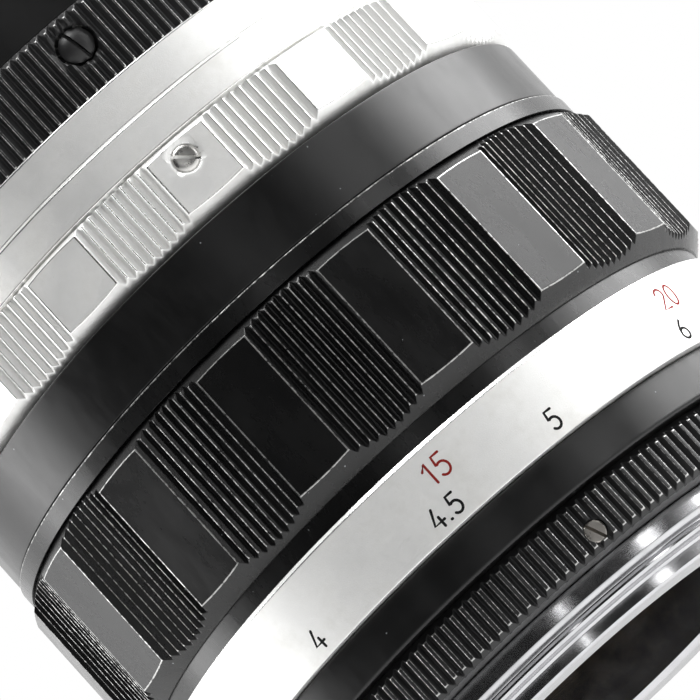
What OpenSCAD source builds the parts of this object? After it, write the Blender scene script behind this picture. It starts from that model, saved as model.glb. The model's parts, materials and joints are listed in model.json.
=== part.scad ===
// Prime lens of the 135 mm class with preset iris, on an adapter for a camera body.
// Millimetres. +Z runs along the optical axis towards the front, and the lens stands on its
// rear mount at Z = 0. The -Y side faces the viewer.

/* [Outer radii] */
// Radius of the mount flange
flange_r = 26; // [25.5:0.1:28]
// Radius over the lands of the focusing ring, which sets the lens's diameter
grip_r = 32.5; // [31.5:0.1:40]
// Height of the focusing ring's lands over its plain band
grip_height = 0.9; // [0.6:0.05:1.4]
// Step on the radius from the focusing ring's plain band down to the head barrel
head_step = 0.2; // [0.1:0.05:0.6]
// Height of the preset ring's lands over its smooth band
preset_height = 0.45; // [0.3:0.05:1]
// Step on the radius from the preset ring down to the index band
index_step = 0.5; // [0.2:0.05:1]
// Step on the radius from the index band down to the aperture ring's ridges
aperture_step = 2; // [1:0.1:2.4]
// Step on the radius from the aperture ring down to the front ring
front_step = 0.9; // [0.2:0.1:1.1]
// Taper of the distance scale on its radius, towards the rear
scale_taper = 0.6; // [0:0.1:0.8]
// Step on the radius from the distance scale down to the rear barrel
band_step = 0.95; // [0.5:0.05:1.15]
// Step on the radius from the rear barrel down to the adapter ring's ridges
adapter_step = 0.8; // [0.4:0.05:1.5]

/* [Lengths along the axis] */
// Height of the register under the mount flange
register_h = 1.4; // [1.2:0.1:3]
// Height of the mount flange
flange_h = 3.1; // [2.6:0.1:5]
// Length of the adapter ring
adapter_h = 5.1; // [4.8:0.1:9]
// Length of the fixed rear barrel's outer band
rear_band_h = 3.8; // [3.4:0.1:8]
// Length of the distance scale ring
scale_h = 7.15; // [6.6:0.05:12]
// Length of the neck between scale and grip
neck_h = 1.8; // [1.2:0.1:4]
// Length of the focusing grip with its chamfers
grip_h = 15.8; // [14.5:0.1:24]
// Length of the plain band ahead of the grip
focus_band_h = 1.7; // [1:0.1:4]
// Visible length of the head barrel
head_h = 6.3; // [5:0.1:12]
// Length of the preset ring
preset_h = 10.6; // [9:0.1:16]
// Length of the fixed index band
index_h = 3.85; // [3.8:0.05:8]
// Length of the aperture ring
aperture_h = 7.65; // [6:0.05:10]
// Length of the front ring
front_h = 16.8; // [15.5:0.1:30]

/* [Focusing grip] */
// Number of scallops round the focusing ring
focus_scallops = 15; // [8:1:18]
// Width of one scallop, in degrees
focus_scallop_deg = 14.2; // [8:0.1:18]
// Grooves in one scallop
focus_grooves = 9; // [4:1:12]
// Depth of a scallop at its middle
focus_scoop = 0.72; // [0.3:0.02:1]
// Depth of one groove
focus_groove_depth = 0.42; // [0.2:0.02:0.6]
// Chamfer behind the focusing grip
focus_rear_chamfer = 1.6; // [0.8:0.1:2]
// Chamfer ahead of the focusing grip
focus_front_chamfer = 1.3; // [0.6:0.1:1.6]
// Turn of the focusing ring from infinity to its nearest distance, in degrees
focus_turn = 317; // [120:1:320]
// Travel of the head over that turn
focus_travel = 6.36; // [2:0.01:6.6]

/* [Preset grip] */
// Number of scallops round the preset ring
preset_scallops = 14; // [8:2:18]
// Width of one scallop, in degrees
preset_scallop_deg = 15; // [8:0.1:18]
// Grooves in one scallop
preset_grooves = 9; // [4:1:12]
// Depth of a scallop at its middle
preset_scoop = 0.5; // [0.3:0.02:0.8]
// Depth of one groove
preset_groove_depth = 0.38; // [0.2:0.02:0.5]
// Chamfer behind the preset grip
preset_rear_chamfer = 1.3; // [0.6:0.1:1.6]
// Chamfer ahead of the preset grip
preset_front_chamfer = 0.45; // [0.3:0.05:0.8]
// Length of the smooth band of the preset ring
preset_band_h = 3.45; // [2.4:0.05:5]

/* [Knurled rings] */
// Ridges round the adapter ring
adapter_ridges = 174; // [90:2:200]
// Depth of the adapter ring's ridges
adapter_ridge_depth = 0.42; // [0.2:0.02:0.6]
// Ridges round the aperture ring
aperture_ridges = 174; // [90:2:200]
// Depth of the aperture ring's ridges
aperture_ridge_depth = 0.45; // [0.2:0.02:0.6]
// Chamfer at the ends of both knurled rings
knurl_chamfer = 0.5; // [0.3:0.05:0.8]

/* [Bores and walls] */
// Radius of the adapter thread
thread_r = 21; // [17:0.05:22]
// Wall of the rear barrel inside that thread
thread_wall = 1.6; // [1:0.05:3]
// Wall of the focusing ring at its plain band
focus_wall = 1.3; // [1:0.05:1.6]
// Height of the focusing ring's nut over the sleeve that it turns on
nut_lip = 1.78; // [1.5:0.02:2.2]
// Wall of the fixed sleeve that the focusing ring turns on
sleeve_wall = 1.3; // [1:0.05:1.6]
// Wall of the helicoid tube
helicoid_wall = 1.6; // [1.3:0.05:2]
// Wall of the optical barrel
barrel_wall = 1.2; // [1:0.05:1.45]
// Height of the bearing step on the optical barrel
bearing_step = 1; // [0.8:0.05:1.2]
// Wall of the front ring outside the filter thread
filter_wall = 2.4; // [1.6:0.1:2.6]
// Length of the filter thread
filter_h = 4.5; // [3:0.1:6]

/* [Iris] */
// Number of iris blades
blades = 10; // [10:1:10]
// Width of a blade
blade_w = 6.7; // [6.2:0.1:7.5]
// Angle that a blade's arc spans, in degrees
blade_span = 105; // [95:1:110]
// Thickness of a blade
blade_t = 0.12; // [0.1:0.01:0.14]
// Distance from one blade's level to the next
blade_pitch = 0.22; // [0.2:0.01:0.24]
// Distance from the optical barrel's bore to the blades' pivots
pivot_inset = 2.6; // [2.5:0.05:3]
// Distance from a blade's pivot to its drive pin
tail = 1.8; // [1.6:0.05:2]
// Radius of a blade's pins
pin_r = 0.4; // [0.3:0.05:0.45]
// Turn of a blade from open to closed, in degrees
blade_turn = 34; // [20:1:35]
// Turn of the aperture ring from open to closed, in degrees
aperture_turn = 32; // [20:1:32]

/* [Fits] */
// Radial clearance of a running fit
run = 0.05; // [0.02:0.01:0.08]
// Radial clearance of a seated or screwed piece
seat = 0.02; // [0.01:0.01:0.04]
// Gap between the end faces of pieces that turn or slide past each other
gap = 0.1; // [0.05:0.01:0.15]

/* [Hidden] */
$fn = 96;
facing = -90;           // azimuth of the side that faces the viewer
screw_thirds = 3;       // screws spaced by thirds round a ring
over = 1;               // how far a cutter runs past what it cuts

// Outer radii, from the widest one down
focus_band_r = grip_r - grip_height;
head_r = focus_band_r - head_step;
preset_band_r = head_r;
preset_r = preset_band_r + preset_height;
index_r = preset_band_r - index_step;
aperture_r = index_r - aperture_step;
front_r = aperture_r - front_step;
filter_r = front_r - filter_wall;
scale_front_r = focus_band_r;
scale_rear_r = scale_front_r - scale_taper;
band_r = scale_rear_r - band_step;
adapter_r = band_r - adapter_step;

// Nested walls, from the focusing ring inwards
slide = 0.4;            // room round the helicoid tube
key_room = 0.2;         // room between the key's inner face and the optical barrel's bore
cavity_r = focus_band_r - focus_wall;
nut_r = cavity_r - seat;
sleeve_r = nut_r - nut_lip;
sleeve_bore_r = sleeve_r - sleeve_wall;
helicoid_r = sleeve_bore_r - slide;
helicoid_bore_r = helicoid_r - helicoid_wall;
barrel_bore_r = helicoid_bore_r - key_room;
barrel_r = barrel_bore_r + barrel_wall;
bearing_r = barrel_r + bearing_step;
lip_r = barrel_bore_r - 1.5;
opening_r = thread_r - thread_wall;
spigot_r = flange_r - 1;
register_r = flange_r - 2.6;

// Stations along the axis, from the rear
z_flange = register_h;
z_adapter = z_flange + flange_h;
z_band = z_adapter + adapter_h;
z_scale = z_band + rear_band_h + gap;
z_neck = z_scale + scale_h;
z_grip = z_neck + neck_h;
z_focus_band = z_grip + grip_h;
z_focus_top = z_focus_band + focus_band_h;
z_head = z_focus_top + gap;
z_head_top = z_head + head_h;
z_preset = z_head_top + gap;
z_preset_top = z_preset + preset_h;
z_index = z_preset_top + gap;
z_index_top = z_index + index_h;
z_aperture = z_index_top + gap;
z_aperture_top = z_aperture + aperture_h;
z_front = z_aperture_top + gap;
z_top = z_front + front_h;

// Mount and adapter
spigot_h = 2.65;
groove_w = 0.8;
groove_depth = 0.6;
bead_drop = 0.15;
edge = 0.2;
mouth_chamfer = 0.5;
z_spigot_top = z_adapter + spigot_h;
z_thread = z_spigot_top + seat;
grub_r = 1;
grub_z = z_adapter + 1.6;
grub_sink = 0.55;
grub_az = facing + 16.5;
slot_w = 0.35;
slot_depth = 0.5;

// Rear barrel and focusing gear
rear_floor = 1.6;
z_floor = z_band + rear_floor;
z_nut = z_grip + 3.7;
nut_h = 5;
z_sleeve_top = z_nut - gap;
snap_h = 1.1;
z_snap = z_grip + 0.05;
snap_in = sleeve_r - 0.65;
snap_out = sleeve_r + 1;
scale_seat_r = sleeve_r + 1.1;
scale_edge = 0.25;
neck_r = grip_r - focus_rear_chamfer - 0.2;
stop_z = z_scale + 2.5;
stop_r = 0.7;
stop_depth = 0.75;
stop_az = facing + 150;
stop_lead = asin((stop_r + run) / (sleeve_r - stop_depth)) + 0.2;
focus_phase = 3.4;
key_w = 3;
key_h = 6.5;
z_key = z_scale + 4.5;
key_in = helicoid_bore_r + 0.15;
key_screw_r = 0.8;
key_screw_sink = 0.3;
z_key_screw = z_key + 1.8;
key_az = facing + 180;

// Head
z_tube = z_scale + 0.5;
z_tube_top = z_head + 1.7;
skirt_wall = 1;
skirt_out = cavity_r - run;
z_skirt = z_nut + nut_h + 0.5;
z_lip = z_head_top + 0.6;
z_barrel_top = z_top - filter_h - 1.5;

// Preset ring
preset_bore_r = bearing_r + run;
z_preset_band = z_preset_top - preset_band_h;
preset_screw_r = 1.05;
preset_sink_r = 1.6;
preset_screw_z = z_preset + 5.2;
preset_screw_az = facing + 7.8;
preset_screw_depth = 2.4;
preset_land_r = preset_r * cos(180 / preset_scallops - preset_scallop_deg / 2);
preset_sink = 0.3;
click_z = z_preset + 2.2;
click_r = 0.8;
click_az = facing + 100;
click_out = 0.5;
click_groove = 0.65;
click_groove_w = 2.2;
click_notches = 9;
click_step = 4;
click_hole_depth = 1.7;
stop_pin_r = 0.4;
stop_pin_at = bearing_r + 0.65;
stop_pin_az = facing + 120;
stop_pin_hold = 2;
stop_pin_reach = 1.4;
pin_lead = asin((stop_pin_r + run) / stop_pin_at) + 0.1;

// Aperture ring and its screws
drive_z = z_aperture + 4.7;
drive_az = facing + 7.9;
drive_shank_r = 1;
drive_head_r = 1.5;
drive_head_h = 0.9;
drive_dome_r = 2.8;
drive_sink_r = 1.85;
drive_sink = 1;
dome_steps = 6;
drive_slot_tilt = 11;
drive_lead = asin((drive_shank_r + gap) / barrel_bore_r);

// Iris levels
pivot_r = barrel_bore_r - pivot_inset;
blade_r = pivot_r - 1.2;
iris_open_r = blade_r - blade_w;
plate_t = 1;
z_plate = z_index + 1.1;
z_blades = z_plate + plate_t + 0.15;
z_cam = z_blades + blades * blade_pitch + 0.2;
cam_t = 1;
cam_r = barrel_bore_r - 0.1;
collar_r = cam_r - 0.9;
z_collar_top = drive_z + drive_shank_r + 0.1;
slot_clear = 0.05;
tab_r = 1;
tail_r = 0.7;
cam_steps = 8;
cam_probe = 0.01;

// Glass and cells
glass_steps = 8;
rear_cell_r = barrel_bore_r - 8;
rear_cell_wall = 1.5;
rear_glass_r = rear_cell_r - rear_cell_wall - seat;
rear_seat_r = rear_glass_r - 1.6;
rear_back_bulge = 2.6;
rear_back_radius = curve(rear_glass_r, rear_back_bulge);
rear_front_bulge = 2;
rear_front_radius = curve(rear_glass_r, rear_front_bulge);
rear_glass_t = 6;
flange_t = 1.5;
z_rear_cell = z_lip - 13;
z_rear_glass = z_rear_cell + 1.2;
z_rear_seat = z_rear_glass + rear_glass_t - sag(rear_front_radius, rear_seat_r);
driver_w = 0.8;
driver_depth = 0.6;
spacer_wall = 1;
z_front_cell = z_collar_top + 0.3;
front_cell_r = barrel_bore_r - seat;
front_glass_r = barrel_bore_r - 2.5;
front_seat_r = front_glass_r - 1.4;
front_edge_t = 2;
front_hollow = 2.9;
front_back_radius = -curve(front_glass_r, front_hollow);
front_bulge = 5.1;
front_front_radius = curve(front_glass_r, front_bulge);
pair_r = barrel_bore_r - 5.1;
pair_seat = 2;
pair_edge_t = 4.2;
pair_hollow = 1.6;
pair_back_radius = -curve(pair_r, pair_hollow);
pair_bulge = 2.4;
pair_front_radius = curve(pair_r, pair_bulge);
cement_bulge = 1.4;
cement_radius = curve(pair_r, cement_bulge);
z_pair = z_front_cell + 1;
z_cement = z_pair + 2.4;
z_spacer = z_pair + pair_edge_t;
z_front_glass = z_spacer + 1;
z_front_vertex = z_front_glass + front_edge_t + sag(front_front_radius, front_glass_r);
z_bezel_top = z_barrel_top + 1.5;
bezel_slope = 1.5;
bezel_r = filter_r - 0.6;
drive_grip = aperture_r - drive_sink - collar_r - gap;

function polar(r, a) = [r * cos(a), r * sin(a)];
function turn2(p, a) = [p[0] * cos(a) - p[1] * sin(a), p[0] * sin(a) + p[1] * cos(a)];

// Radius of a curved surface from its depth at a distance from its axis
function curve(x, depth) = (x * x + depth * depth) / (2 * depth);

// Depth of a curved surface at a distance from its axis, negative where it is hollow
function sag(radius, x) = radius - sign(radius) * sqrt(radius * radius - x * x);

// Star outline of V ridges, with a crest at azimuth 0
function ridge_outline(count, crest_r, depth) = [
    for (i = [0:count - 1], k = [0, 1]) polar(crest_r - k * depth, 360 * (i + k / 2) / count)];

// Lands with hollow scallops between them, each scallop cut by V grooves
function scallop_outline(count, width, crest_r, scoop, grooves, depth, phase) = [
    for (p = [0:count - 1], j = [0:2 * grooves])
        let (t = j / grooves - 1)
        polar(crest_r - scoop * (1 - t * t) - (j % 2) * depth,
              phase + 360 * p / count + t * width / 2)];

// Turned ring between two radii and two heights
module ring(inner, outer, bottom, top) {
    rotate_extrude() translate([inner, bottom]) square([outer - inner, top - bottom]);
}

// Turned body from a half outline of [radius, height] points
module turned(outline) {
    rotate_extrude() polygon(outline);
}

// Part of a turned ring, over an angle from a starting azimuth
module arc_ring(inner, outer, bottom, top, from, sweep) {
    rotate([0, 0, from])
        rotate_extrude(angle = sweep)
            translate([inner, bottom]) square([outer - inner, top - bottom]);
}

// Copies of a piece round the axis
module around(count, phase) {
    for (i = [0:count - 1]) rotate([0, 0, phase + 360 * i / count]) children();
}

// Round rod pointing away from the axis, between two distances from it
module spoke(r, from, to, height) {
    translate([from, 0, height]) rotate([0, 90, 0]) cylinder(r = r, h = to - from);
}

// Screwdriver slot across a radial screw whose head ends at a given distance from the axis
module driver_slot(r, outer, height, tilt) {
    translate([outer - slot_depth, 0, height]) rotate([tilt, 0, 0])
        translate([0, -r - over, -slot_w / 2]) cube([slot_depth + over, 2 * (r + over), slot_w]);
}

// Disc of glass between its rear and front vertex, positive radii bulge outwards
module glass(r, rear_vertex, front_vertex, rear_radius, front_radius) {
    turned(concat(
        [for (k = [0:glass_steps]) let (x = r * k / glass_steps)
            [x, rear_vertex + sag(rear_radius, x)]],
        [for (k = [glass_steps:-1:0]) let (x = r * k / glass_steps)
            [x, front_vertex - sag(front_radius, x)]]));
}

module mount_ring() color("silver") turned([
    [opening_r + mouth_chamfer, 0], [register_r - edge, 0], [register_r, edge],
    [register_r, z_flange - edge], [register_r + edge, z_flange], [flange_r - 2 * edge, z_flange],
    [flange_r - bead_drop, z_flange + edge], [flange_r - bead_drop, z_flange + 2 * edge],
    [flange_r - groove_depth, z_flange + groove_w], [flange_r, z_flange + 2 * groove_w],
    [flange_r, z_adapter - edge / 2], [flange_r - edge / 2, z_adapter], [spigot_r, z_adapter],
    [spigot_r, z_spigot_top], [opening_r, z_spigot_top], [opening_r, mouth_chamfer]]);

module adapter_ring() color("#1c1c1e") difference() {
    intersection() {
        translate([0, 0, z_adapter]) linear_extrude(adapter_h)
            polygon(ridge_outline(adapter_ridges, adapter_r, adapter_ridge_depth));
        turned([[0, z_adapter], [adapter_r - knurl_chamfer, z_adapter],
                [adapter_r + edge, z_adapter + knurl_chamfer + edge],
                [adapter_r + edge, z_band - knurl_chamfer - edge],
                [adapter_r - knurl_chamfer, z_band], [0, z_band]]);
    }
    ring(0, spigot_r + seat, z_adapter - over, z_spigot_top);
    ring(0, thread_r, z_adapter - over, z_band + over);
    around(screw_thirds, grub_az) spoke(grub_r + seat, spigot_r - over, adapter_r + over, grub_z);
}

module adapter_grub_screws() color("lightsteelblue") around(screw_thirds, grub_az) difference() {
    spoke(grub_r, spigot_r + seat + gap, adapter_r - grub_sink, grub_z);
    driver_slot(grub_r, adapter_r - grub_sink, grub_z, 45);
}

module rear_barrel() color("#202022") difference() {
    turned([[opening_r, z_thread], [thread_r - seat, z_thread], [thread_r - seat, z_band],
            [band_r - edge, z_band], [band_r, z_band + edge], [band_r, z_scale - gap],
            [sleeve_r, z_scale - gap], [sleeve_r, z_sleeve_top], [sleeve_bore_r, z_sleeve_top],
            [sleeve_bore_r, z_floor], [opening_r, z_floor]]);
    ring(snap_in - run, sleeve_r + over, z_snap - run, z_snap + snap_h + run);
    arc_ring(sleeve_r - stop_depth, sleeve_r + over, stop_z - stop_r - run, stop_z + stop_r + run,
             stop_az - stop_lead, focus_turn + 2 * stop_lead);
    rotate([0, 0, key_az]) spoke(key_screw_r + seat, sleeve_bore_r - over, sleeve_r + over, z_key_screw);
}

module snap_ring() color("gray") ring(snap_in, snap_out, z_snap, z_snap + snap_h);

module guide_key() color("goldenrod") rotate([0, 0, key_az]) difference() {
    intersection() {
        ring(key_in, sleeve_bore_r - seat, z_key, z_key + key_h);
        translate([key_in - over, -key_w / 2, z_key]) cube([2 * over + sleeve_r - key_in, key_w, key_h]);
    }
    spoke(key_screw_r + seat, key_in + key_screw_sink, sleeve_r, z_key_screw);
}

module guide_key_screw() color("lightsteelblue") rotate([0, 0, key_az]) difference() {
    spoke(key_screw_r, key_in + 2 * key_screw_sink, sleeve_r - key_screw_sink, z_key_screw);
    driver_slot(key_screw_r, sleeve_r - key_screw_sink, z_key_screw, 0);
}

module focus_ring() color("#161618") difference() {
    union() {
        intersection() {
            translate([0, 0, z_grip]) linear_extrude(grip_h)
                polygon(scallop_outline(focus_scallops, focus_scallop_deg, grip_r, focus_scoop,
                                        focus_grooves, focus_groove_depth, facing + focus_phase));
            turned([[0, z_grip], [grip_r - focus_rear_chamfer, z_grip],
                    [grip_r + edge, z_grip + focus_rear_chamfer + edge],
                    [grip_r + edge, z_focus_band - focus_front_chamfer - edge],
                    [grip_r - focus_front_chamfer, z_focus_band], [0, z_focus_band]]);
        }
        ring(0, focus_band_r, z_focus_band - over, z_focus_top);
        ring(0, neck_r, z_neck, z_grip + over);
        ring(0, scale_seat_r, z_scale, z_neck);
    }
    ring(0, sleeve_r + run, z_scale - over, z_nut + over);
    ring(0, cavity_r, z_nut, z_focus_top + over);
    ring(0, snap_out + run, z_snap - run, z_snap + snap_h + run);
    rotate([0, 0, stop_az]) spoke(stop_r + seat, sleeve_r - over, scale_seat_r + over, stop_z);
}

module distance_scale_ring() color("gainsboro") turned([
    [scale_seat_r + seat, z_scale], [scale_rear_r - scale_edge, z_scale],
    [scale_rear_r, z_scale + scale_edge], [scale_front_r, z_neck - scale_edge],
    [scale_front_r - scale_edge, z_neck], [scale_seat_r + seat, z_neck]]);

module helicoid_nut() color("goldenrod") ring(helicoid_r + run, nut_r, z_nut, z_nut + nut_h);

module focus_stop_screw() color("lightsteelblue") rotate([0, 0, stop_az]) difference() {
    spoke(stop_r, sleeve_r - stop_depth + gap, scale_seat_r - gap, stop_z);
    driver_slot(stop_r, scale_seat_r - gap, stop_z, 90);
}

module head_barrel() color("#202022") turned([
    [skirt_out - skirt_wall, z_skirt], [skirt_out, z_skirt], [skirt_out, z_head], [head_r, z_head],
    [head_r, z_head_top - edge], [head_r - edge, z_head_top], [barrel_r + seat, z_head_top],
    [barrel_r + seat, z_tube_top], [helicoid_r + seat, z_tube_top], [helicoid_r + seat, z_head],
    [skirt_out - skirt_wall, z_head]]);

module helicoid_tube() color("goldenrod") difference() {
    ring(helicoid_bore_r, helicoid_r, z_tube, z_tube_top);
    rotate([0, 0, key_az]) translate([key_in - over, -key_w / 2 - run, z_tube - over])
        cube([sleeve_r - key_in, key_w + 2 * run, z_key + key_h + 3 * gap - z_tube + over]);
}

module optical_barrel() color("#26262a") difference() {
    turned([[lip_r, z_tube_top], [barrel_r, z_tube_top], [barrel_r, z_head_top],
            [bearing_r, z_head_top], [bearing_r, z_index_top], [barrel_r, z_index_top],
            [barrel_r, z_barrel_top], [barrel_bore_r, z_barrel_top], [barrel_bore_r, z_lip],
            [lip_r, z_lip]]);
    for (i = [0:screw_thirds - 1])
        arc_ring(barrel_bore_r - over, barrel_r + over, drive_z - drive_shank_r - gap,
                 drive_z + drive_shank_r + gap, drive_az + 360 * i / screw_thirds - drive_lead,
                 aperture_turn + 2 * drive_lead);
    rotate([0, 0, click_az])
        spoke(click_r + run, bearing_r - click_hole_depth, bearing_r + over, click_z);
}

module index_band() color("gainsboro") difference() {
    turned([[bearing_r + seat, z_index], [index_r - edge, z_index], [index_r, z_index + edge],
            [index_r, z_index_top - edge], [index_r - edge, z_index_top],
            [bearing_r + seat, z_index_top]]);
    stop_slot(bearing_r, z_index - over, z_index_top + over, aperture_turn);
}

// Arc slot that the preset stop pin moves along, over a turn from its place at rest
module stop_slot(inner, bottom, top, turn) {
    arc_ring(inner, stop_pin_at + stop_pin_r + run, bottom, top,
             stop_pin_az - turn - pin_lead, turn + 2 * pin_lead);
}

module preset_ring() color("gainsboro") difference() {
    union() {
        intersection() {
            translate([0, 0, z_preset]) linear_extrude(z_preset_band - z_preset)
                polygon(scallop_outline(preset_scallops, preset_scallop_deg, preset_r, preset_scoop,
                                        preset_grooves, preset_groove_depth,
                                        preset_screw_az + 180 / preset_scallops));
            turned([[0, z_preset], [preset_r - preset_rear_chamfer, z_preset],
                    [preset_r + edge, z_preset + preset_rear_chamfer + edge],
                    [preset_r + edge, z_preset_band - preset_front_chamfer - edge],
                    [preset_r - preset_front_chamfer, z_preset_band], [0, z_preset_band]]);
        }
        turned([[0, z_preset_band - over], [preset_band_r - preset_front_chamfer, z_preset_band - over],
                [preset_band_r - preset_front_chamfer, z_preset_band], [preset_band_r, z_preset_band],
                [preset_band_r, z_preset_top - edge], [preset_band_r - edge, z_preset_top],
                [0, z_preset_top]]);
    }
    ring(0, preset_bore_r, z_preset - over, z_preset_top + over);
    ring(0, bearing_r + click_groove, click_z - click_groove_w / 2, click_z + click_groove_w / 2);
    for (i = [0:click_notches - 1])
        rotate([0, 0, click_az + click_step * i])
            spoke(click_r + run, bearing_r, bearing_r + 2 * click_groove, click_z);
    around(2, preset_screw_az) {
        spoke(preset_screw_r + seat, preset_r - preset_screw_depth, preset_r + over, preset_screw_z);
        spoke(preset_sink_r, preset_land_r - preset_sink, preset_r + over, preset_screw_z);
    }
    rotate([0, 0, stop_pin_az]) translate([stop_pin_at, 0, z_preset_top - stop_pin_hold])
        cylinder(r = stop_pin_r + seat, h = stop_pin_hold + over);
}

module preset_ring_screws() color("lightsteelblue") around(2, preset_screw_az) difference() {
    spoke(preset_screw_r, preset_r - preset_screw_depth + gap, preset_land_r - gap, preset_screw_z);
    driver_slot(preset_screw_r, preset_land_r - gap, preset_screw_z, 40);
}

module preset_stop_pin() color("lightsteelblue") rotate([0, 0, stop_pin_az])
    translate([stop_pin_at, 0, z_preset_top - stop_pin_hold + gap])
        cylinder(r = stop_pin_r, h = stop_pin_hold + index_h + gap + stop_pin_reach);

module click_ball() color("lightsteelblue") rotate([0, 0, click_az])
    translate([bearing_r + click_out - click_r, 0, click_z]) sphere(r = click_r);

module click_spring() color("gray") rotate([0, 0, click_az]) difference() {
    spoke(click_r - run, bearing_r - click_hole_depth, bearing_r - click_r - 2 * gap, click_z);
    spoke(click_r / 2, bearing_r - click_hole_depth - over, bearing_r, click_z);
}

module aperture_ring() color("#1c1c1e") difference() {
    intersection() {
        translate([0, 0, z_aperture]) linear_extrude(aperture_h)
            polygon(ridge_outline(aperture_ridges, aperture_r, aperture_ridge_depth));
        turned([[0, z_aperture], [aperture_r - knurl_chamfer, z_aperture],
                [aperture_r + edge, z_aperture + knurl_chamfer + edge],
                [aperture_r + edge, z_aperture_top - knurl_chamfer - edge],
                [aperture_r - knurl_chamfer, z_aperture_top], [0, z_aperture_top]]);
    }
    ring(0, barrel_r + run, z_aperture - over, z_aperture_top + over);
    stop_slot(stop_pin_at - stop_pin_r - run, z_aperture - over,
              z_aperture + stop_pin_reach + gap, 2 * aperture_turn);
    around(screw_thirds, drive_az) {
        spoke(drive_shank_r + seat, barrel_r - over, aperture_r + over, drive_z);
        spoke(drive_sink_r, aperture_r - drive_sink, aperture_r + over, drive_z);
    }
}

module aperture_ring_screws() color("#1c1c1e") around(screw_thirds, drive_az) difference() {
    translate([collar_r + gap, 0, drive_z]) rotate([0, 90, 0]) rotate_extrude() polygon(concat(
        [[0, 0], [drive_shank_r, 0], [drive_shank_r, drive_grip], [drive_head_r, drive_grip]],
        [for (k = [dome_steps:-1:0]) let (x = drive_head_r * k / dome_steps)
            [x, drive_grip + drive_head_h - sag(drive_dome_r, x)]]));
    driver_slot(drive_head_r, aperture_r - drive_sink + drive_head_h, drive_z, drive_slot_tilt);
}

module iris_base_plate() color("#26262a") difference() {
    ring(iris_open_r - 0.2, barrel_bore_r - seat, z_plate, z_plate + plate_t);
    around(blades, 0) translate([pivot_r, 0, z_plate - over])
        cylinder(r = pin_r + slot_clear, h = plate_t + 2 * over);
}

module iris_spacer() color("#26262a")
    ring(barrel_bore_r - spacer_wall, barrel_bore_r - seat, z_lip + flange_t, z_plate);

// Place of a blade's drive pin, seen from the cam ring, as the iris closes from t = 0 to 1
function cam_point(t) =
    turn2([pivot_r, 0] + turn2([0, -tail], blade_turn * t), -aperture_turn * t);

// Direction that the cam slot runs in at t
function cam_run(t) =
    let (d = cam_point(min(1, t + cam_probe)) - cam_point(max(0, t - cam_probe))) d / norm(d);

// Points round the slot's centre line at t, at given angles from its direction
function cam_edge(t, angles) = [
    for (a = angles) cam_point(t) + (pin_r + slot_clear) * turn2(cam_run(t), a)];

// Outline of one cam slot with its two round ends
function cam_slot() = concat(
    [for (k = [0:cam_steps]) each cam_edge(k / cam_steps, [90])],
    cam_edge(1, [60:-30:-60]),
    [for (k = [cam_steps:-1:0]) each cam_edge(k / cam_steps, [-90])],
    cam_edge(0, [-120:-30:-240]));

module iris_cam_ring() color("#3a3a3e") difference() {
    union() {
        ring(iris_open_r + 0.3, cam_r, z_cam, z_cam + cam_t);
        ring(collar_r, cam_r, z_cam, z_collar_top);
    }
    around(blades, 0) translate([0, 0, z_cam - over]) linear_extrude(cam_t + over) polygon(cam_slot());
    around(screw_thirds, drive_az) spoke(drive_shank_r + seat, collar_r - over, cam_r + over, drive_z);
}

// One blade: an arc with a tab for its pivot and a tail for its drive pin
module iris_blade(i) color("#4a4a50") rotate([0, 0, 360 * (i - 1) / blades]) {
    level = z_blades + (i - 1) * blade_pitch;
    difference() {
        translate([0, 0, level]) linear_extrude(blade_t) {
            intersection() {
                difference() {
                    circle(r = blade_r);
                    circle(r = iris_open_r);
                }
                polygon(concat([[0, 0]], [for (a = [0:blade_span / 4:blade_span]) polar(2 * blade_r, a)]));
            }
            translate([blade_r - tab_r, -tab_r]) square([pivot_r - blade_r + tab_r, 2 * tab_r]);
            translate([pivot_r, 0]) circle(r = tab_r);
            translate([pivot_r - tail_r, -tail]) square([2 * tail_r, tail]);
            translate([pivot_r, -tail]) circle(r = tail_r);
        }
        ring(0, iris_open_r, level - over, level + over);
    }
    translate([pivot_r, 0, z_plate + gap]) cylinder(r = pin_r, h = level + blade_t - z_plate - gap);
    translate([pivot_r, -tail, level]) cylinder(r = pin_r, h = z_cam + cam_t - gap - level);
}

module rear_cell() color("#26262a") difference() {
    union() {
        ring(0, rear_cell_r, z_rear_cell, z_lip);
        ring(0, barrel_bore_r - seat, z_lip, z_lip + flange_t);
    }
    ring(0, rear_glass_r + seat, z_rear_cell - over, z_rear_seat);
    ring(0, rear_seat_r, z_rear_cell, z_lip + flange_t + over);
}

module rear_element() color("lightcyan")
    glass(rear_glass_r, z_rear_glass, z_rear_glass + rear_glass_t, rear_back_radius, rear_front_radius);

module rear_retaining_ring() color("#26262a") difference() {
    ring(rear_seat_r, rear_glass_r, z_rear_cell, z_rear_glass + sag(rear_back_radius, rear_seat_r));
    translate([-rear_glass_r - over, -driver_w / 2, z_rear_cell - over])
        cube([2 * (rear_glass_r + over), driver_w, over + driver_depth]);
}

module front_cell() color("#26262a") difference() {
    ring(0, front_cell_r, z_front_cell, z_barrel_top);
    ring(0, pair_r - pair_seat, z_front_cell - over, z_barrel_top);
    ring(0, pair_r + seat, z_pair, z_barrel_top);
    ring(0, front_glass_r + seat, z_spacer, z_barrel_top + over);
}

module inner_element_rear() color("lightcyan")
    glass(pair_r, z_pair - sag(pair_back_radius, pair_r), z_cement, pair_back_radius, -cement_radius);

module inner_element_front() color("lightcyan")
    glass(pair_r, z_cement, z_spacer + sag(pair_front_radius, pair_r), cement_radius, pair_front_radius);

module element_spacer() color("#26262a") ring(pair_r, front_glass_r, z_spacer, z_front_glass);

module front_element() color("lightcyan")
    glass(front_glass_r, z_front_glass - sag(front_back_radius, front_glass_r), z_front_vertex,
          front_back_radius, front_front_radius);

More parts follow.
